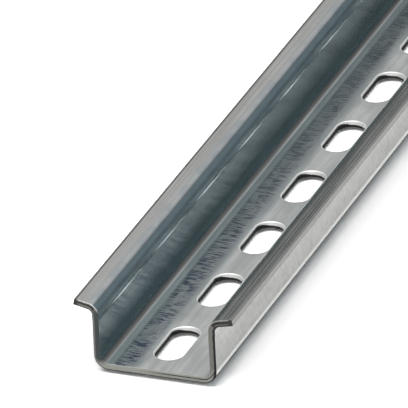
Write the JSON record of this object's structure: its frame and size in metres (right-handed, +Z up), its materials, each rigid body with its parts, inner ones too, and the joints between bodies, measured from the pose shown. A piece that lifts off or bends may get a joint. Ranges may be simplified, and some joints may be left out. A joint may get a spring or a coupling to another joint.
{
  "type": "din rail",
  "caption": "Straight top-hat mounting rail of zinc-plated sheet steel, open side up, with outward flanges for clip-on devices and a row of slots along its floor.",
  "frame": {"origin": "mid-length, on the centre line, at the underside of the floor", "axes": "+X along the rail, +Y across it, +Z up out of the open side"},
  "size_m": [1, 0.035, 0.0155],
  "materials": {
    "zinc_plated_steel": "zinc-plated and passivated, faint rolling streaks along the rail"
  },
  "bodies": {
    "root": {"din_rail": "zinc_plated_steel"}
  },
  "joints": []
}
